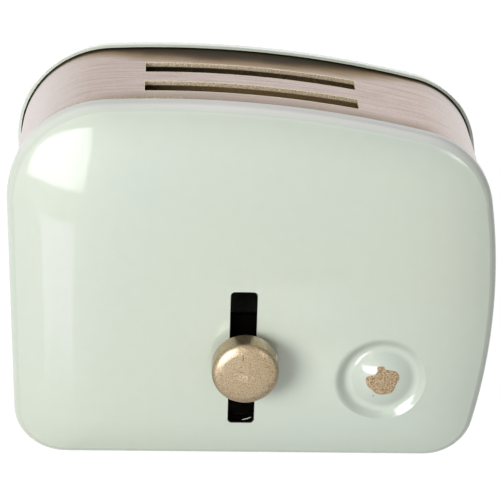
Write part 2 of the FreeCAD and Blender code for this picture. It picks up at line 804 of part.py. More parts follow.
def friction_spring():
    """Bowed leaf on the stem, its two ends on the slide plate and its middle on the nut."""
    body = new_body("friction_spring")
    half = size.spring_length / 2
    ends = SLIDE_BACK + size.stack_gap
    crest = ends + size.spring_bow
    inner = (half * half + size.spring_bow * size.spring_bow) / (2 * size.spring_bow)
    outer = inner + size.spring_gauge
    tip_out = half * outer / inner
    tip_back = crest - inner + (inner - size.spring_bow) * outer / inner
    base = (-1 * FACE, LEVER_UP, LEVER_ACROSS)
    strip = new_sketch(body, "spring_strip", "YZ_Plane", base)
    closed_run(strip, [
        (ends, -1 * half, inner, 1),
        (ends, half),
        (tip_back, tip_out, outer, -1),
        (tip_back, -1 * tip_out),
    ])
    pad(body, strip, size.spring_width, both_ways=True)
    bore = new_sketch(body, "spring_hole", "XZ_Plane", (LEVER_ACROSS, LEVER_UP, 0))
    add_circle(bore, THREAD_BORE)
    cut_through(body, bore)
    return body


def stem_nut():
    """Hexagon nut on the stem's tail."""
    body = new_body("stem_nut")
    sketch = new_sketch(body, "nut_outline", "XZ_Plane", (LEVER_ACROSS, LEVER_UP, FACE - NUT_FRONT))
    corner = (THREAD_RADIUS + size.nut_wall) * 2 / math.sqrt(3)
    closed_run(sketch, [
        (corner * math.cos(math.radians(turn)), corner * math.sin(math.radians(turn)))
        for turn in range(0, 360, 60)
    ])
    pad(body, sketch, size.nut_thickness, reverse=True)
    bore = new_sketch(body, "nut_bore", "XZ_Plane", (LEVER_ACROSS, LEVER_UP, 0))
    add_circle(bore, THREAD_BORE)
    cut_through(body, bore)
    return body


def build():
    """Every sub-part, placed so that the whole object's box is centred over the origin."""
    made = [
        shell("front_shell", True),
        shell("rear_shell", False),
        centre_band(),
        base_plate(),
        rivets("base_rivets", foot_rivet_places(), FOOT_TOP),
        guide_bracket(),
        rivets("bracket_rivets", bracket_rivet_places(), BRACKET_FOOT_TOP),
    ]
    made += [slot_liner(f"{place}_slot_liner", y) for place, y in bread_slot_places()]
    made += [lever_knob(), lever_stem(), face_washer(), bread_lift(), friction_spring(), stem_nut()]
    for part in made:
        bind(part, ".Placement.Base.y", MIDDLE)
    return made


def check(made):
    """Stop on any failed object, or any sub-part that isn't a valid solid."""
    faults = [o.Name for o in doc.Objects if {"Invalid", "Error"} & set(o.State)]
    for part in made:
        if part.Shape.isNull() or not part.Shape.isValid() or not part.Shape.Solids:
            faults.append(part.Label)
    if faults:
        raise RuntimeError(f"failed objects: {faults}")


parts = build()
doc.recompute()
check(parts)
os.makedirs("parts", exist_ok=True)
for part in parts:
    part.Shape.exportStep(f"parts/{part.Label}.step")
    box = part.Shape.BoundBox
    lows = f"{box.XMin:.2f} {box.YMin:.2f} {box.ZMin:.2f}"
    highs = f"{box.XMax:.2f} {box.YMax:.2f} {box.ZMax:.2f}"
    volume = part.Shape.Volume
    print(f"{part.Label}: {len(part.Shape.Solids)} solids, {volume:.2f} mm3, from {lows} to {highs}")
print(f"lever travel each way: {TRAVEL.number:.3f} mm")
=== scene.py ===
"""Toy toaster in mint enamel and champagne gold: finishes, paint details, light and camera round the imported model."""

import math

import bmesh
import bpy
from mathutils import Matrix, Vector
from mathutils.bvhtree import BVHTree


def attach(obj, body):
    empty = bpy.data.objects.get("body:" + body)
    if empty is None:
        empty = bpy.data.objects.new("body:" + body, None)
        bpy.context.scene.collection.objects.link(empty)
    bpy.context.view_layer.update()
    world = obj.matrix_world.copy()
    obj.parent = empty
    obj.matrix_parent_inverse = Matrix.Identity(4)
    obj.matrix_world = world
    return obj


MM = 0.001

# Camera, at the photograph's angle
AZIMUTH = -2.28
ELEVATION = 25.99
ROLL = 1.74
DISTANCE = 222.21
AIM = (-0.11, 1.7, 19.76)
FOCAL_PIXELS = 2091.58
IMAGE_SIDE = 500
SENSOR_WIDTH = 36.0

# Places on the toy, in millimetres
FACE_Y = -8.65
SLOT_LEFT = -2.33
SLOT_RIGHT = 0.41
SLOT_LOW = 4.52
SLOT_HIGH = 20.0
SLOT_CORNER = 0.45
DIAL = (13.68, 9.8)
SPECK = (12.85, 7.86)
KNOB = (-0.96, 12.26)
KNOB_FLAT = 2.1
KNOB_SOFT = 1.6
BREAD_LEFT = -11.32
BREAD_RIGHT = 10.29
BREAD_ROWS = (-1.385, 3.785)
BREAD_HALF = 1.24
CREST_X = -8.74
CREST_Z = 39.63
TOP_RADIUS = 109.61
RIM_FRONT = -5.9
RIM_REAR = 9.3
CENTRE = (0, 0, 20)

# Reaches of the painted sheen on the front shell's top rim, a pale whitish colour for the light it reflects, in
# millimetres
SHEEN_ALONG = (-7.7, -7.2)
SHEEN_UP = (32, 37)
SHEEN_ACROSS = (-20, -4)

# Nick in the knob's face, in millimetres
NICK_ACROSS = (-1.05, -0.97)
NICK_UP = (13.9, 14.5)
NICK_ALONG = (-11.7, -11.5)

# Reaches of the band's tones, in millimetres: the pale ends are a painted sheen, the ramp across is painted light and
# shade, and the strip along the rear rim's edge is a painted shadow
TAN_ALONG = (RIM_FRONT + 1.2, RIM_FRONT + 3.6)
TAN_ACROSS = (-12.0, 16.0)
DUST_ALONG = (RIM_FRONT + 1.2, RIM_FRONT + 2.3)
DUST_ACROSS = (-22.0, -9.0)
REAR_RIM_SHADOW_ALONG = (RIM_REAR - 0.8, RIM_REAR - 0.35)
SHEEN_ENDS = (17, 22)
SHADE_ACROSS = (-20, 20)
REAR_DARKENING_MIDDLE = -1
REAR_DARKENING_BOW = 11.8

# Finishes, as linear colours
MINT = (0.596, 0.652, 0.553)
MINT_COOL = (0.586, 0.648, 0.566)
MINT_DULL = (0.50, 0.56, 0.46)
# Painted sheen: pale whitish colour for the top rim's reflection of light from above
RIM_PAINTED_SHEEN = (0.86, 0.83, 0.82)
SPECK_GREY = (0.22, 0.24, 0.19)
PINK = (0.60, 0.49, 0.44)
PINK_LIGHT = (0.79, 0.67, 0.62)
# Painted sheen: the band's pale colour where it rounds its shoulders
PINK_SHEEN_ENDS = (0.88, 0.81, 0.78)
TAN = (0.44, 0.35, 0.27)
# Near black for the lever slot's black edge, and for the painted shadow in the liners
BLACK_EDGE_AND_SHADE = (0.012, 0.009, 0.004)
# Painted shadow: dark line on the band right under the rear shell's rim
REAR_RIM_SHADOW = (0.06, 0.045, 0.025)
DUST_DARK = (0.20, 0.13, 0.06)
DUST_GOLD = (0.9, 0.75, 0.55)
# Gold of the cut edges and its sparkle below, painted brighter than the band's own gold as a painted highlight
EDGE_GOLD_HIGHLIGHT = (1.0, 0.84, 0.62)
EDGE_DARK = (0.70, 0.52, 0.31)
EDGE_SPARK_HIGHLIGHT = (1.0, 0.90, 0.70)
KNOB_GOLD = (0.47, 0.365, 0.22)
KNOB_DARK = (0.25, 0.165, 0.085)
KNOB_PALE = (0.48, 0.385, 0.26)
NICK = (0.10, 0.07, 0.03)
BLACK = (0.002, 0.0016, 0.001)
STEEL = (0.55, 0.53, 0.50)
# Bright steel grey given to the black bracket's rolled lip, a painted glint
LIP_GLINT_GREY = (0.50, 0.49, 0.48)
NYLON = (0.02, 0.02, 0.02)
DAB_GOLD = (0.58, 0.44, 0.27)
DAB_DARK = (0.20, 0.13, 0.065)

# Darkening along the band's rear edge, deepest in a bow round the middle: millimetres back, and the share of the
# paint's colour
REAR_DARKENING = (
    (4.0, (1.0, 1.0, 1.0)), (5.0, (0.74, 0.68, 0.57)), (5.5, (0.57, 0.50, 0.37)), (6.05, (0.41, 0.34, 0.21)),
    (6.6, (0.22, 0.17, 0.09)), (7.1, (0.11, 0.08, 0.04)), (7.7, (0.05, 0.04, 0.02)),
)

# Light
WORLD_STRENGTH = 0.38
FLOOR_SHADE = 0.55
FLOOR_WHITE = 1.2
FLOOR_WHITE_SHARE = 0.8
FLOOR_HALF = 1.5

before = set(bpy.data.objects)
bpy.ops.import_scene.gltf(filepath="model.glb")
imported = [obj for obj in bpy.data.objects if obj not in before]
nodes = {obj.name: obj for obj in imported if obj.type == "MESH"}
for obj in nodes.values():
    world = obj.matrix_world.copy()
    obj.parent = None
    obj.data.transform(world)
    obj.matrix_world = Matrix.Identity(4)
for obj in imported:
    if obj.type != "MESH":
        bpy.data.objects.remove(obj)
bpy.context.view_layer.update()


class Finish:
    """One procedural material, with short calls for the shader nodes that the finishes share."""

    def __init__(self, name):
        self.material = bpy.data.materials.new(name)
        self.material.use_nodes = True
        self.tree = self.material.node_tree
        self.shader = self.tree.nodes["Principled BSDF"]
        self.place = self.add("ShaderNodeTexCoord").outputs["Object"]
        parts = self.add("ShaderNodeSeparateXYZ")
        self.link(self.place, parts.inputs["Vector"])
        self.x, self.y, self.z = (parts.outputs[axis] for axis in "XYZ")

    def add(self, kind, **settings):
        node = self.tree.nodes.new(kind)
        for key, value in settings.items():
            setattr(node, key, value)
        return node

    def link(self, source, target):
        self.tree.links.new(source, target)

    def set(self, **sockets):
        for name, value in sockets.items():
            socket = self.shader.inputs[name.replace("_", " ")]
            if isinstance(value, tuple) and len(value) == 3:
                value = (*value, 1.0)
            socket.default_value = value

    def put(self, **sockets):
        """Links outputs to the shader's named inputs."""
        for name, source in sockets.items():
            self.link(source, self.shader.inputs[name.replace("_", " ")])

    def noise(self, scale, detail=3.0, roughness=0.5):
        """Noise with one scale, or one per axis, in turns per metre."""
        across = scale if isinstance(scale, tuple) else (scale,) * 3
        mapping = self.add("ShaderNodeMapping")
        mapping.inputs["Scale"].default_value = across
        self.link(self.place, mapping.inputs["Vector"])
        node = self.add("ShaderNodeTexNoise")
        node.inputs["Scale"].default_value = 1.0
        node.inputs["Detail"].default_value = detail
        node.inputs["Roughness"].default_value = roughness
        self.link(mapping.outputs["Vector"], node.inputs["Vector"])
        return node.outputs["Fac"]

    def ramp(self, factor, low, high, bottom=0.0, top=1.0):
        """Straight ramp between two values of the factor, held outside them."""
        node = self.add("ShaderNodeMapRange")
        for name, value in (("From Min", low), ("From Max", high), ("To Min", bottom), ("To Max", top)):
            node.inputs[name].default_value = value
        self.link(factor, node.inputs["Value"])
        return node.outputs["Result"]

    def across(self, axis, reach, bottom=0.0, top=1.0):
        """Straight ramp over a reach of a coordinate given in millimetres."""
        low, high = reach
        return self.ramp(axis, low * MM, high * MM, bottom, top)

    def maths(self, operation, one, other=None):
        node = self.add("ShaderNodeMath", operation=operation)
        for socket, value in zip(node.inputs, (one, other)):
            if value is None:
                continue
            if isinstance(value, (int, float)):
                socket.default_value = value
            else:
                self.link(value, socket)
        return node.outputs["Value"]

    def times(self, *factors):
        result = factors[0]
        for factor in factors[1:]:
            result = self.maths("MULTIPLY", result, factor)
        return result

    def mix(self, factor, one, other):
        node = self.add("ShaderNodeMix", data_type="RGBA")
        self.link(factor, node.inputs["Factor"])
        for socket, value in ((node.inputs[6], one), (node.inputs[7], other)):
            if isinstance(value, tuple):
                socket.default_value = (*value, 1.0)
            else:
                self.link(value, socket)
        return node.outputs[2]

    def shaded(self, colour, share):
        """The colour times a share."""
        node = self.add("ShaderNodeMix", data_type="RGBA", blend_type="MULTIPLY")
        node.inputs["Factor"].default_value = 1.0
        self.link(colour, node.inputs[6])
        self.link(share, node.inputs[7])
        return node.outputs[2]

    def facing(self):
        """How squarely the surface faces the front or the back, from 0 to 1."""
        parts = self.add("ShaderNodeSeparateXYZ")
        self.link(self.add("ShaderNodeNewGeometry").outputs["Normal"], parts.inputs["Vector"])
        return self.maths("ABSOLUTE", parts.outputs["Y"])

    def between(self, axis, low, high, soft):
        """One inside a range of a coordinate given in millimetres, with soft ends outside it."""
        rises = self.ramp(axis, (low - soft) * MM, low * MM)
        falls = self.ramp(axis, high * MM, (high + soft) * MM, 1.0, 0.0)
        return self.times(rises, falls)

    def rounded(self, left, right, low, high, radius, soft):
        """One inside a rounded oblong on the front, in millimetres across and up."""
        gaps = []
        for axis, start, end in ((self.x, left, right), (self.z, low, high)):
            off = self.maths("ABSOLUTE", self.maths("SUBTRACT", axis, (start + end) / 2 * MM))
            past = self.maths("SUBTRACT", off, ((end - start) / 2 - radius) * MM)
            gaps.append(self.maths("MAXIMUM", past, 0.0))
        square = self.maths("ADD", self.times(gaps[0], gaps[0]), self.times(gaps[1], gaps[1]))
        return self.ramp(self.maths("SQRT", square), radius * MM, (radius + soft) * MM, 1.0, 0.0)

    def spot(self, x, z, radius, soft):
        """One near a place on the front, in millimetres across and up."""
        return self.ramp(self.from_place(x, z), radius * MM, (radius + soft) * MM, 1.0, 0.0)

    def from_place(self, x, z):
        """Distance from a place on the front, given in millimetres across and up."""
        across = self.maths("SUBTRACT", self.x, x * MM)
        up = self.maths("SUBTRACT", self.z, z * MM)
        return self.maths("SQRT", self.maths("ADD", self.times(across, across), self.times(up, up)))

    def bump(self, height, depth, coat=False, over=None):
        """Bump of a depth in millimetres, over a first one when that is given."""
        node = self.add("ShaderNodeBump")
        node.inputs["Distance"].default_value = depth * MM
        self.link(height, node.inputs["Height"])
        if over:
            self.link(over, node.inputs["Normal"])
        self.put(Normal=node.outputs["Normal"])
        if coat:
            self.put(Coat_Normal=node.outputs["Normal"])


def mint_enamel():
    """Smooth enamel: a drift of tone, painted shade where it turns away from the front and back, a black edge round the
    lever slot, a speck, and a painted sheen, a pale whitish colour, on the top rim.
    """
    finish = Finish("mint_enamel")
    drift = finish.noise(60, detail=2.0)
    grain = finish.noise(2600, detail=2.0)
    mottle = finish.noise(700, detail=3.0)
    colour = finish.mix(finish.ramp(drift, 0.35, 0.65), MINT, MINT_COOL)
    colour = finish.mix(finish.ramp(mottle, 0.35, 0.65, 0.0, 0.10), colour, MINT_DULL)
    front = finish.ramp(finish.y, 0.0, 0.001, 1.0, 0.0)
    cut = finish.rounded(SLOT_LEFT, SLOT_RIGHT, SLOT_LOW, SLOT_HIGH, SLOT_CORNER, 0.04)
    colour = finish.mix(finish.times(cut, front), colour, BLACK_EDGE_AND_SHADE)
    speck = finish.spot(*SPECK, 0.06, 0.06)
    colour = finish.mix(finish.times(speck, front), colour, SPECK_GREY)
    # Painted shade: the enamel is darker where it turns away from the front and back, over the crown and the bends.
    painted_shade = finish.ramp(finish.facing(), 0.92, 0.995, 0.84, 1.0)
    colour = finish.shaded(colour, painted_shade)
    # Painted sheen: the top rim turns pale and whitish, weaker towards the left end, for the light it reflects.
    rim = finish.times(finish.across(finish.y, SHEEN_ALONG), finish.across(finish.z, SHEEN_UP), front)
    rim_sheen = finish.times(rim, finish.across(finish.x, SHEEN_ACROSS, 0.2, 0.7))
    colour = finish.mix(rim_sheen, colour, RIM_PAINTED_SHEEN)
    finish.put(Base_Color=colour, Roughness=finish.ramp(grain, 0.3, 0.7, 0.38, 0.48))
    finish.set(Specular_IOR_Level=0.3, Coat_Weight=1.0, Coat_Roughness=0.035, Coat_IOR=1.5)
    finish.bump(finish.noise(420, detail=1.0), 0.0012, coat=True)
    return finish.material


def champagne_paint():
    """Brushed champagne: tan near the front rim, painted sheen at the ends, painted light and shade across, darker
    along the rear rim with a painted shadow at its edge, dusted at the left, and gold in the cuts painted brighter as a
    highlight.
    """
    finish = Finish("champagne_paint")
    streaks = finish.noise((150, 3600, 150), detail=5.0, roughness=0.75)
    grain = finish.noise(9000, detail=2.0, roughness=0.7)
    blotch = finish.noise(220, detail=3.0)
    colour = finish.mix(finish.ramp(streaks, 0.36, 0.58), PINK, PINK_LIGHT)

    near_rim = finish.across(finish.y, TAN_ALONG, 1.0, 0.0)
    tan = finish.times(near_rim, finish.between(finish.x, *TAN_ACROSS, 6.0), finish.ramp(blotch, 0.2, 0.7, 0.7, 1.2))
    colour = finish.mix(tan, colour, TAN)
    # Painted sheen: paler towards both ends, where the band rounds its shoulders.
    ends = finish.across(finish.maths("ABSOLUTE", finish.x), SHEEN_ENDS, 0.0, 0.9)
    colour = finish.mix(ends, colour, PINK_SHEEN_ENDS)
    # Painted light and shade: darker towards the left and brighter towards the right.
    colour = finish.shaded(colour, finish.across(finish.x, SHADE_ACROSS, 0.88, 1.10))

    off = finish.maths("SUBTRACT", finish.x, REAR_DARKENING_MIDDLE * MM)
    bow = finish.times(off, off, REAR_DARKENING_BOW)
    depth = finish.maths("SUBTRACT", finish.y, bow)
    depth = finish.maths("ADD", depth, finish.ramp(blotch, 0.3, 0.7, -0.3 * MM, 0.3 * MM))
    rear_darkening = finish.add("ShaderNodeValToRGB")
    finish.link(finish.ramp(depth, REAR_DARKENING[0][0] * MM, REAR_DARKENING[-1][0] * MM), rear_darkening.inputs["Fac"])
    span = REAR_DARKENING[-1][0] - REAR_DARKENING[0][0]
    stops = rear_darkening.color_ramp.elements
    for i, (place, share) in enumerate(REAR_DARKENING):
        stop = stops[i] if i < 2 else stops.new(1.0)
        stop.position = (place - REAR_DARKENING[0][0]) / span
        stop.color = (*share, 1.0)
    colour = finish.shaded(colour, rear_darkening.outputs["Color"])

    # Painted shadow: a dark line on the band right under the rear shell's rim.
    rim_shadow = finish.across(finish.y, REAR_RIM_SHADOW_ALONG, 0.0, 0.9)
    colour = finish.mix(rim_shadow, colour, REAR_RIM_SHADOW)

    sparkle = finish.ramp(grain, 0.50, 0.62)
    dust = finish.times(finish.across(finish.y, DUST_ALONG, 1.0, 0.0), finish.between(finish.x, *DUST_ACROSS, 4.0))
    dusted = finish.mix(sparkle, DUST_DARK, DUST_GOLD)
    colour = finish.mix(finish.times(dust, finish.ramp(grain, 0.40, 0.56)), colour, dusted)

    in_cut = None
    for row in BREAD_ROWS:
        inside = finish.between(finish.y, row - BREAD_HALF - 0.03, row + BREAD_HALF + 0.14, 0.12)
        in_cut = inside if in_cut is None else finish.maths("MAXIMUM", in_cut, inside)
    in_cut = finish.times(in_cut, finish.between(finish.x, BREAD_LEFT - 0.03, BREAD_RIGHT + 0.05, 0.05))
    # The cut edges get gold overspray painted brighter than the band: a painted highlight on the gold.
    gold = finish.mix(sparkle, EDGE_GOLD_HIGHLIGHT, EDGE_SPARK_HIGHLIGHT)
    gilt_highlight = finish.mix(finish.ramp(grain, 0.36, 0.56), EDGE_DARK, gold)
    colour = finish.mix(in_cut, colour, gilt_highlight)

    flecks = finish.ramp(grain, 0.40, 0.62, 0.90, 1.08)
    finish.put(Base_Color=finish.shaded(colour, flecks), Roughness=finish.ramp(streaks, 0.3, 0.7, 0.42, 0.56))
    finish.set(Metallic=0.5, Specular_IOR_Level=0.06)
    finish.bump(finish.maths("ADD", streaks, finish.times(grain, 0.6)), 0.014)
    return finish.material


def liner_paint(name, colour, dark, bright_depth, darkest_at, lightest_at):
    """Gold overspray inside a bread slot, painted brighter at the mouth as a highlight and fading below it to near
    black towards one end as painted shadow.
    """
    finish = Finish(name)
    grain = finish.noise(9000, detail=3.0, roughness=0.75)
    off = finish.maths("ADD", finish.x, -CREST_X * MM)
    top = finish.maths("SUBTRACT", CREST_Z * MM, finish.times(off, off, 0.5 / (TOP_RADIUS * MM)))
    depth = finish.maths("SUBTRACT", top, finish.z)
    # Painted shadow: below the mouth the gold fades to near black towards one end of the slot.
    out_of_shadow = finish.ramp(finish.x, darkest_at * MM, lightest_at * MM)
    gold = finish.mix(finish.ramp(grain, 0.38, 0.62), dark, colour)
    painted_shade = finish.mix(finish.ramp(grain, 0.45, 0.70), BLACK_EDGE_AND_SHADE, dark)
    # Painted highlight: the mouth is brighter gold.
    lip = finish.mix(finish.ramp(grain, 0.36, 0.60), EDGE_DARK, EDGE_GOLD_HIGHLIGHT)
    mouth = finish.ramp(depth, bright_depth * MM, (bright_depth + 0.25) * MM, 1.0, 0.0)
    finish.put(Base_Color=finish.mix(mouth, finish.mix(out_of_shadow, painted_shade, gold), lip))
    finish.set(Metallic=0.35, Roughness=0.55)
    finish.bump(grain, 0.02)
    return finish.material


def knob_gold():
    """Fine-grained metallic gold, shaded rounder towards the edge, with a small dark nick near the top."""
    finish = Finish("knob_gold")
    grain = finish.noise(8000, detail=3.0, roughness=0.75)
    patches = finish.noise(300, detail=3.0)
    base = finish.mix(finish.ramp(patches, 0.35, 0.65, 0.0, 0.6), KNOB_GOLD, KNOB_PALE)
    colour = finish.mix(finish.ramp(grain, 0.36, 0.54), KNOB_DARK, base)
    nick = finish.times(
        finish.between(finish.x, *NICK_ACROSS, 0.05),
        finish.between(finish.z, *NICK_UP, 0.2),
        finish.across(finish.y, NICK_ALONG, 1.0, 0.0),
    )
    colour = finish.mix(finish.times(nick, 0.6), colour, NICK)
    finish.put(Base_Color=colour, Roughness=finish.ramp(grain, 0.3, 0.7, 0.26, 0.40))
    finish.set(Metallic=0.85, Coat_Weight=0.3, Coat_Roughness=0.12)
    past = finish.maths("MAXIMUM", finish.maths("SUBTRACT", finish.from_place(*KNOB), KNOB_FLAT * MM), 0.0)
    soften = finish.add("ShaderNodeBump")
    soften.inputs["Distance"].default_value = 1.0
    finish.link(finish.times(past, past, -0.5 / (KNOB_SOFT * MM)), soften.inputs["Height"])
    finish.bump(grain, 0.008, over=soften.outputs["Normal"])
    return finish.material


def dab_paint():
    """Brown-gold dab of paint with a grainy surface."""
    finish = Finish("dab_gold")
    grain = finish.noise(6500, detail=3.0, roughness=0.75)
    colour = finish.mix(finish.ramp(grain, 0.40, 0.56), DAB_DARK, DAB_GOLD)
    finish.put(Base_Color=colour, Roughness=finish.ramp(grain, 0.3, 0.7, 0.36, 0.5))
    finish.set(Metallic=0.5)
    finish.bump(grain, 0.02)
    return finish.material


def plain(name, colour, metallic, roughness, scale, depth, gloss=0.5):
    """A small piece's finish: one colour with a fine uneven grain."""
    finish = Finish(name)
    grain = finish.noise(scale)
    darker = tuple(c * 0.75 for c in colour)
    finish.put(Base_Color=finish.mix(grain, darker, colour))
    finish.put(Roughness=finish.ramp(grain, 0.3, 0.7, roughness, roughness + 0.12))
    finish.set(Metallic=metallic, Specular_IOR_Level=gloss)
    finish.bump(grain, depth)
    return finish.material


def paint(material, *names):
    """Gives the named CAD nodes a finish."""
    for name in names:
        mesh = nodes[name].data
        mesh.materials.clear()
        mesh.materials.append(material)


def new_piece(name, build, material, body):
    """Turns a bmesh into a smooth piece that rides on a body and fills a material slot."""
    mesh = bpy.data.meshes.new(name)
    bmesh.ops.recalc_face_normals(build, faces=build.faces)
    build.to_mesh(mesh)
    build.free()
    mesh.materials.append(material)
    mesh.shade_smooth()
    piece = bpy.data.objects.new(name, mesh)
    bpy.context.scene.collection.objects.link(piece)
    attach(piece, body)


def closed_curve(points, steps):
    """Points of a smooth closed curve through the given ones."""
    curve = []
    count = len(points)
    for i in range(count):
        before, start, end, after = (Vector(points[(i + k) % count]) for k in (-1, 0, 1, 2))
        for k in range(steps):
            t = k / steps
            curve.append(0.5 * (
                2 * start + (end - before) * t
                + (2 * before - 5 * start + 4 * end - after) * t * t
                + (3 * start - 3 * end + after - before) * t * t * t
            ))
    return curve


# Outline of the paint dab, from the dial's middle, in millimetres across and up
DAB_OUTLINE = (
    (-0.62, 1.50), (-0.45, 1.62), (-0.18, 1.66), (0.10, 1.62), (0.23, 1.38), (0.45, 1.26), (0.66, 1.24),
    (0.98, 1.17), (1.44, 1.00), (1.72, 0.62), (1.78, 0.18), (1.58, -0.24), (1.42, -0.68), (1.30, -1.14),
    (1.00, -1.53), (0.62, -1.64), (0.14, -1.74), (-0.29, -1.69), (-0.72, -1.48), (-0.98, -1.18),
    (-1.32, -0.94), (-1.56, -0.58), (-1.70, -0.15), (-1.70, 0.28), (-1.40, 0.52), (-0.93, 0.64),
    (-0.66, 0.88), (-0.56, 1.20),
)
# Rings of the dab: share of the outline's reach, and height above the enamel in millimetres
DAB_RINGS = ((1.0, -0.03), (1.0, 0.0), (0.97, 0.03), (0.90, 0.045), (0.72, 0.05), (0.45, 0.055), (0.2, 0.055))


def dial_dab():
    """Thick dab of paint in the dial, laid on the pressed metal."""
    shell = nodes["front_shell"]
    tree = BVHTree.FromPolygons([v.co for v in shell.data.vertices], [p.vertices for p in shell.data.polygons])

    def on_dial(across, up, height):
        start = Vector(((DIAL[0] + across) * MM, -0.05, (DIAL[1] + up) * MM))
        place, normal, _, _ = tree.ray_cast(start, Vector((0, 1, 0)))
        if normal.y > 0:
            normal = -normal
        return place + normal * height * MM

    curve = closed_curve(DAB_OUTLINE, 3)
    centre = sum(curve, Vector((0, 0))) / len(curve)
    build = bmesh.new()
    rings = []
    for share, height in DAB_RINGS:
        ring = []
        for point in curve:
            x, z = centre + (point - centre) * share
            ring.append(build.verts.new(on_dial(x, z, height)))
        rings.append(ring)
    crest = build.verts.new(on_dial(centre.x, centre.y, DAB_RINGS[-1][1]))
    under = build.verts.new(on_dial(centre.x, centre.y, DAB_RINGS[0][1]))
    count = len(curve)
    for i in range(count):
        following = (i + 1) % count
        for outer, inner in zip(rings, rings[1:]):
            build.faces.new((outer[i], outer[following], inner[following], inner[i]))
        build.faces.new((rings[-1][i], rings[-1][following], crest))
        build.faces.new((rings[0][following], rings[0][i], under))
    new_piece("dial_dab", build, dab_paint(), "case")


# Middle line of the guide slot's rolled lip, in millimetres across and up, with its depth and radius
LIP_LINE = ((-0.98, 4.36), (-0.62, 4.42), (-0.25, 4.53), (0.05, 4.67), (0.26, 4.84))
LIP_Y = -7.62
LIP_RADIUS = 0.13


def guide_lip(material):
    """Rolled lip at the foot of the guide slot, a slender tapered bead on the bracket's web."""
    line = [Vector((x * MM, LIP_Y * MM, z * MM)) for x, z in LIP_LINE]
    build = bmesh.new()
    sides = 10
    rings = []
    out = Vector((0, -1, 0))
    for i, middle in enumerate(line):
        along = (line[min(i + 1, len(line) - 1)] - line[max(i - 1, 0)]).normalized()
        across = along.cross(out).normalized()
        radius = LIP_RADIUS * MM * (0.35 + 0.65 * math.sin(math.pi * (i + 0.5) / len(line)))
        ring = []
        for k in range(sides):
            turn = 2 * math.pi * k / sides
            ring.append(build.verts.new(middle + (out * math.sin(turn) + across * math.cos(turn)) * radius))
        rings.append(ring)
    for one, other in zip(rings, rings[1:]):
        for k in range(sides):
            following = (k + 1) % sides
            build.faces.new((one[k], one[following], other[following], other[k]))
    for ring in (rings[0], rings[-1]):
        build.faces.new(ring)
    new_piece("guide_lip", build, material, "case")


def ray_mask(tree, *kinds):
    """One for the given kinds of ray, from the light path."""
    path = tree.nodes.new("ShaderNodeLightPath")
    result = path.outputs[f"Is {kinds[0]} Ray"]
    for kind in kinds[1:]:
        either = tree.nodes.new("ShaderNodeMath")
        either.operation = "MAXIMUM"
        tree.links.new(result, either.inputs[0])
        tree.links.new(path.outputs[f"Is {kind} Ray"], either.inputs[1])
        result = either.outputs["Value"]
    return result


def light_world():
    """White to the lens and in reflections, and a soft light from all round."""
    world = bpy.data.worlds.new("studio")
    bpy.context.scene.world = world
    world.use_nodes = True
    tree = world.node_tree
    mixer = tree.nodes.new("ShaderNodeMix")
    tree.links.new(ray_mask(tree, "Camera", "Glossy", "Transmission"), mixer.inputs["Factor"])
    mixer.inputs["A"].default_value = WORLD_STRENGTH
    mixer.inputs["B"].default_value = 1.0
    tree.links.new(mixer.outputs["Result"], tree.nodes["Background"].inputs["Strength"])
    tree.nodes["Background"].inputs["Color"].default_value = (1.0, 1.0, 1.0, 1.0)


def area_light(name, place, size, watts):
    """Soft square lamp that lights the toy and stays out of the reflections."""
    data = bpy.data.lights.new(name, "AREA")
    data.size = size * MM
    data.energy = watts
    lamp = bpy.data.objects.new(name, data)
    bpy.context.scene.collection.objects.link(lamp)
    lamp.location = Vector(place) * MM
    lamp.rotation_mode = "QUATERNION"
    lamp.rotation_quaternion = (Vector(CENTRE) - Vector(place)).to_track_quat("-Z", "Y")
    lamp.visible_camera = False
    lamp.visible_glossy = False


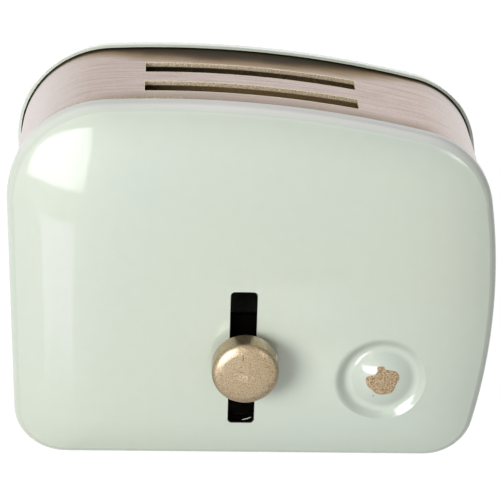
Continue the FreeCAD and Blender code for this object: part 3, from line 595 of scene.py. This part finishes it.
def glow_panel(name, outline, glow, soft, towards=CENTRE, shown_to=None):
    """One-sided softbox that only reflections see, laid over what is behind it.

    The outline's points are in millimetres, each with its share of the glow. Its lit side is turned to a
    place, the glow fades out over a soft border, and with shown_to only that CAD node mirrors it.
    """
    middle = sum((Vector(point[:3]) for point in outline), Vector()) / len(outline)
    count = len(outline)
    places, lights = [], []
    rings = ((1 + soft, 0.0), (1 - soft, 0.85), (max(0.4, 1 - 3 * soft), 1.0))
    for reach, share in rings:
        for x, y, z, own in outline:
            places.append((middle + (Vector((x, y, z)) - middle) * reach) * MM)
            lights.append([part * share * own for part in glow] + [1.0])
    inner = [own for *_, own in outline]
    places.append(middle * MM)
    lights.append([part * sum(inner) / count for part in glow] + [1.0])
    faces = []
    for ring in range(2):
        for i in range(count):
            following = (i + 1) % count
            start = ring * count
            faces.append((start + i, start + following, start + count + following, start + count + i))
    faces += [(2 * count + i, 2 * count + (i + 1) % count, 3 * count) for i in range(count)]
    mesh = bpy.data.meshes.new(name)
    mesh.from_pydata(places, [], faces)
    layer = mesh.color_attributes.new("glow", "FLOAT_COLOR", "POINT")
    layer.data.foreach_set("color", [part for light in lights for part in light])
    to_toy = Vector(towards) * MM - places[-1]
    if mesh.polygons[-1].normal.dot(to_toy) < 0:
        mesh.flip_normals()
    material = bpy.data.materials.new(name)
    material.use_nodes = True
    tree = material.node_tree
    light = tree.nodes.new("ShaderNodeEmission")
    stored = tree.nodes.new("ShaderNodeAttribute")
    stored.attribute_name = "glow"
    tree.links.new(stored.outputs["Color"], light.inputs["Color"])
    front = tree.nodes.new("ShaderNodeMath")
    front.operation = "SUBTRACT"
    front.inputs[0].default_value = 1.0
    tree.links.new(tree.nodes.new("ShaderNodeNewGeometry").outputs["Backfacing"], front.inputs[1])
    tree.links.new(front.outputs["Value"], light.inputs["Strength"])
    over = tree.nodes.new("ShaderNodeAddShader")
    tree.links.new(light.outputs["Emission"], over.inputs[0])
    tree.links.new(tree.nodes.new("ShaderNodeBsdfTransparent").outputs["BSDF"], over.inputs[1])
    tree.links.new(over.outputs["Shader"], tree.nodes["Material Output"].inputs["Surface"])
    mesh.materials.append(material)
    panel = bpy.data.objects.new(name, mesh)
    bpy.context.scene.collection.objects.link(panel)
    for kind in ("camera", "diffuse", "transmission", "volume_scatter", "shadow"):
        setattr(panel, f"visible_{kind}", False)
    if shown_to:
        seen_by = bpy.data.collections.new(name)
        seen_by.objects.link(nodes[shown_to])
        panel.light_linking.receiver_collection = seen_by


def sloped(outline, height, start, rise):
    """Points (across, along, share) lifted onto a slope that has the height where along is the start."""
    return [(x, y, height + rise * (y - start), own) for x, y, own in outline]


def floor():
    """Pale floor, white to the lens, that keeps the toy's shadow in the light it gives back."""
    mesh = bpy.data.meshes.new("studio_floor")
    build = bmesh.new()
    bmesh.ops.create_grid(build, x_segments=8, y_segments=8, size=FLOOR_HALF)
    build.to_mesh(mesh)
    build.free()
    ground = bpy.data.objects.new("studio_floor", mesh)
    bpy.context.scene.collection.objects.link(ground)
    material = bpy.data.materials.new("studio_floor")
    material.use_nodes = True
    tree = material.node_tree
    shader = tree.nodes["Principled BSDF"]
    shader.inputs["Base Color"].default_value = (FLOOR_SHADE, FLOOR_SHADE, FLOOR_SHADE, 1.0)
    shader.inputs["Roughness"].default_value = 0.9
    white = tree.nodes.new("ShaderNodeEmission")
    white.inputs["Strength"].default_value = FLOOR_WHITE
    share = tree.nodes.new("ShaderNodeMath")
    share.operation = "MULTIPLY"
    share.inputs[1].default_value = FLOOR_WHITE_SHARE
    tree.links.new(ray_mask(tree, "Camera", "Glossy", "Transmission"), share.inputs[0])
    mixer = tree.nodes.new("ShaderNodeMixShader")
    tree.links.new(share.outputs["Value"], mixer.inputs["Fac"])
    tree.links.new(shader.outputs["BSDF"], mixer.inputs[1])
    tree.links.new(white.outputs["Emission"], mixer.inputs[2])
    tree.links.new(mixer.outputs["Shader"], tree.nodes["Material Output"].inputs["Surface"])
    mesh.materials.append(material)


def camera():
    """Camera at the photograph's angle, with its roll."""
    azimuth, elevation, roll = (math.radians(angle) for angle in (AZIMUTH, ELEVATION, ROLL))
    level_back = math.cos(elevation)
    back = Vector((math.sin(azimuth) * level_back, -math.cos(azimuth) * level_back, math.sin(elevation)))
    level = (-back).cross(Vector((0, 0, 1))).normalized()
    upright = level.cross(-back)
    right = level * math.cos(roll) + upright * math.sin(roll)
    up = upright * math.cos(roll) - level * math.sin(roll)
    data = bpy.data.cameras.new("camera")
    data.sensor_width = SENSOR_WIDTH
    data.lens = FOCAL_PIXELS * SENSOR_WIDTH / IMAGE_SIDE
    data.clip_start = 0.01
    data.clip_end = 20.0
    seen = bpy.data.objects.new("camera", data)
    bpy.context.scene.collection.objects.link(seen)
    turn = Matrix((right, up, back)).transposed().to_4x4()
    seen.matrix_world = Matrix.Translation((Vector(AIM) + back * DISTANCE) * MM) @ turn
    bpy.context.scene.camera = seen


# Liners: node, finish, gold, dark, depth of the mouth painted bright as a highlight, and where the painted shadow is
# darkest and lightest across
LINERS = (
    ("front_slot_liner", "liner_front", (0.42, 0.30, 0.15), (0.14, 0.09, 0.035), 0.45, -11.0, -3.0),
    ("rear_slot_liner", "liner_rear", (0.26, 0.18, 0.09), (0.06, 0.04, 0.015), 0.45, -9.0, 8.0),
)

# Lamps: name, place and side in millimetres, and watts
LAMPS = (
    ("key", (-221, -258, 104), 165, 1.04),
    ("left", (-349, -12, 38), 240, 0.20),
    ("right", (326, -119, 69), 240, 0.04),
    ("back", (60, 330, 40), 240, 0.45),
)

# Outlines of the softboxes, in millimetres, each point ending in its share of the glow
PATCH_Y = -60
PATCH = (
    (-49.1, 17.0, 0.5), (-46.5, 23.3, 0.8), (-43.9, 27.9, 0.8), (-41.1, 31.2, 0.7), (-37.7, 34.0, 0.7),
    (-34.5, 36.2, 0.7), (-31.4, 37.7, 0.7), (-28.1, 38.3, 0.6), (-25.6, 38.2, 0.4), (-25.5, 29.7, 0.4),
    (-25.3, 21.3, 0.4), (-25.1, 14.7, 0.4), (-25.3, 11.4, 0.3), (-27.8, 11.8, 0.4), (-30.9, 12.5, 0.5),
    (-35.7, 13.7, 0.5), (-41.3, 15.1, 0.5),
)
STRIP_Z = 0.3
STRIP = (
    (-48.0, -66.3, 1.0), (-43.6, -60.2, 1.0), (-38.7, -50.7, 1.0), (-34.7, -40.5, 0.9), (-30.0, -29.0, 0.7),
    (-27.2, -21.4, 0.4), (-24.3, -15.5, 0.0), (-21.0, -15.5, 0.0), (-21.5, -23.1, 0.4), (-23.1, -31.1, 0.8),
    (-25.5, -43.4, 0.9), (-26.9, -54.0, 1.0), (-28.6, -66.8, 1.0), (-34.5, -64.9, 1.0), (-40.6, -66.0, 1.0),
)
LINE = (
    (68, -140, 45.5, 0.3), (79, -140, 34.5, 1), (91.5, -140, 20, 0.6), (92, -140, 17.5, 0.4),
    (79.5, -140, 31, 1), (69, -140, 42, 0.3),
)
DOME = ((12.6, -17.5, 1), (12.6, -23, 1), (12.0, -32, 0.6), (6.5, -32, 0.6), (6.0, -24, 0.8), (8.4, -17.5, 1))
DOME_SLOPE = (11.1, -15.4, 0.54)
GLINT = ((9, -17, 1), (9, -27, 1), (-3, -24, 0.8), (-3, -19, 0.8))
GLINT_SLOPE = (18.2, -17, 0.45)
BEHIND = ((-250, 150, 5, 1), (250, 150, 5, 0.6), (250, -60, 300, 0.6), (-250, -60, 300, 1))
CRESCENT = ((-35, -41, 2, 1), (-7, -55, 2, 1.3), (-10, -28, 50, 1), (-32, -18, 50, 1))
STREAK = ((20, -31, 23, 1), (26, -27, 24, 1), (25, -27, 29, 1), (20, -31, 28, 1))
DIAL_PLACE = (DIAL[0], FACE_Y, DIAL[1])

# Softboxes: name, outline, glow, border, the place that the lit side turns to, and the node that mirrors it
PANELS = (
    ("patch_panel", [(x, PATCH_Y, z, own) for x, z, own in PATCH], (12, 12, 12), 0.06),
    ("strip_panel", [(x, y, STRIP_Z, own) for x, y, own in STRIP], (1.64, 1.19, 1.85), 0.06),
    ("line_panel", LINE, (7, 7, 7), 0.15),
    ("dome_panel", sloped(DOME, *DOME_SLOPE), (16, 16, 16), 0.2, DIAL_PLACE, "front_shell"),
    ("glint_panel", sloped(GLINT, *GLINT_SLOPE), (14, 14, 14), 0.2, DIAL_PLACE, "front_shell"),
    ("front_rim_panel", BEHIND, (1.3, 1.25, 1.3), 0.05, CENTRE, "front_shell"),
    ("rear_rim_panel", BEHIND, (1.7, 1.7, 1.7), 0.05, CENTRE, "rear_shell"),
    ("crescent_panel", CRESCENT, (3.3, 3.7, 4.6), 0.2, CENTRE, "lever_knob"),
    ("streak_panel", STREAK, (6, 6.5, 8), 0.2, CENTRE, "lever_knob"),
)

paint(mint_enamel(), "front_shell", "rear_shell")
paint(champagne_paint(), "centre_band", "base_plate")
for liner_node, *liner_look in LINERS:
    paint(liner_paint(*liner_look), liner_node)
paint(knob_gold(), "lever_knob")
paint(plain("black_enamel", BLACK, 0.0, 0.5, 900, 0.004, gloss=0.04), "guide_bracket", "bread_lift")
steel_pieces = ("base_rivets", "bracket_rivets", "lever_stem", "friction_spring", "stem_nut")
paint(plain("bright_steel", STEEL, 1.0, 0.32, 2500, 0.004), *steel_pieces)
paint(plain("black_nylon", NYLON, 0.0, 0.55, 1500, 0.004), "face_washer")
dial_dab()
# The rolled lip belongs to the black bracket but gets a bright steel-grey metal finish: a painted glint.
guide_lip(plain("lip_glint_steel", LIP_GLINT_GREY, 1.0, 0.14, 900, 0.001))

light_world()
floor()
for lamp_row in LAMPS:
    area_light(*lamp_row)
for panel_row in PANELS:
    glow_panel(*panel_row)
camera()

bpy.context.scene.view_settings.view_transform = "Standard"
